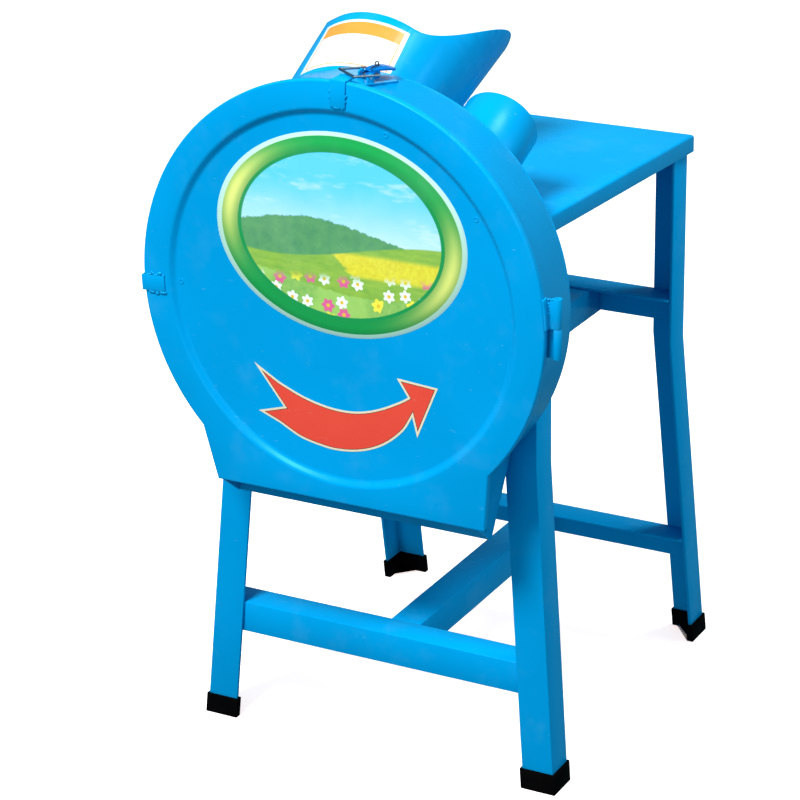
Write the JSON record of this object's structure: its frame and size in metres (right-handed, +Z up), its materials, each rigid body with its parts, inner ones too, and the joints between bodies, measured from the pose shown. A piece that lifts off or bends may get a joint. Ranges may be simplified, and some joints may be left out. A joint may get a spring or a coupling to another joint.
{
  "type": "grass shredder",
  "caption": "Electric grass shredder: round steel drum with hinged cover and feed tubes on an angle-iron stand with a side table, motor behind.",
  "frame": {"origin": "on the floor under the middle of the machine, at the feet's underside", "axes": "+Z up, -Y towards the drum cover at the front, +X to the right seen from the front"},
  "size_m": [0.5381, 0.561, 0.8897],
  "materials": {
    "paint": "gloss azure paint",
    "rubber": "matt black rubber",
    "zinc": "bright zinc plate",
    "steel": "bare machined steel",
    "tool_steel": "ground tool steel",
    "aluminium": "cast aluminium",
    "laminations": "varnished steel laminations",
    "copper": "enamelled copper wire",
    "black_plastic": "moulded black plastic"
  },
  "bodies": {
    "stand": {"front_left_leg": "paint", "front_right_leg": "paint", "rear_left_leg": "paint", "rear_right_leg": "paint", "front_feet": "rubber", "rear_feet": "rubber", "lower_front_crossbar": "paint", "lower_rear_crossbar": "paint", "lower_centre_rail": "paint", "mid_front_crossbar": "paint", "mid_rear_crossbar": "paint", "left_motor_rail": "paint", "right_motor_rail": "paint", "table_top": "paint", "back_plate": "paint", "drum_band": "paint", "discharge_chute": "paint", "back_plate_bolts": "zinc", "big_feed_tube": "paint", "small_feed_tube": "paint", "counter_knife": "tool_steel", "counter_knife_bolts": "zinc", "drum_hinge_leaf": "paint", "hinge_pin": "zinc", "top_latch_base": "zinc", "left_latch_base": "zinc", "latch_pins": "zinc", "motor_shell": "paint", "motor_feet": "paint", "motor_packing": "zinc", "front_end_shield": "aluminium", "rear_end_shield": "aluminium", "shield_bolts": "zinc", "motor_bearings": "steel", "stator_core": "laminations", "stator_windings": "copper", "terminal_box": "paint", "terminal_box_lid": "paint", "cable_gland": "black_plastic", "start_capacitor": "black_plastic", "fan_cowl": "paint", "motor_bolts": "zinc"},
    "rotor": {"motor_shaft": "steel", "motor_rotor_core": "laminations", "cooling_fan": "black_plastic", "rotor_hub": "steel", "hub_key": "steel", "hub_end_bolt": "zinc", "blade_disc": "steel", "cutting_blades": "tool_steel", "blade_bolts": "zinc", "throwing_vanes": "steel"},
    "cover": {"drum_cover": "paint", "cover_catches": "paint", "cover_hinge_leaf": "paint"},
    "top_lever": {"top_latch_lever": "paint"},
    "top_bail": {"top_latch_bail": "zinc"},
    "left_lever": {"left_latch_lever": "paint"},
    "left_bail": {"left_latch_bail": "zinc"}
  },
  "joints": [
    {"name": "rotor_spin", "type": "hinge", "parent": "stand", "child": "rotor", "pos_m": [0, -0.19, 0.6], "axis": [0, 1, 0], "continuous": true},
    {"name": "cover_hinge", "type": "hinge", "parent": "stand", "child": "cover", "pos_m": [0.2675, -0.2635, 0.6085], "axis": [0, 0, 1], "range_deg": [0, 135]},
    {"name": "top_lever_hinge", "type": "hinge", "parent": "stand", "child": "top_lever", "pos_m": [0.02158, -0.23683, 0.85726], "axis": [0.8847, -0.454, -0.1057], "range_deg": [0, 140]},
    {"name": "top_bail_hinge", "type": "hinge", "parent": "top_lever", "child": "top_bail", "pos_m": [0.02554, -0.22971, 0.8598], "axis": [0.8847, -0.454, -0.1057], "range_deg": [-161, 0]},
    {"name": "left_lever_hinge", "type": "hinge", "parent": "stand", "child": "left_lever", "pos_m": [-0.25775, -0.234, 0.5886], "axis": [-0.0442, 0, 0.999], "range_deg": [0, 140]},
    {"name": "left_bail_hinge", "type": "hinge", "parent": "left_lever", "child": "left_bail", "pos_m": [-0.26075, -0.226, 0.58847], "axis": [-0.0442, 0, 0.999], "range_deg": [-161, 0]}
  ],
  "couplings": [
    {"joint": "top_bail_hinge", "follows": "top_lever_hinge", "ratio": -1.15},
    {"joint": "left_bail_hinge", "follows": "left_lever_hinge", "ratio": -1.15}
  ]
}
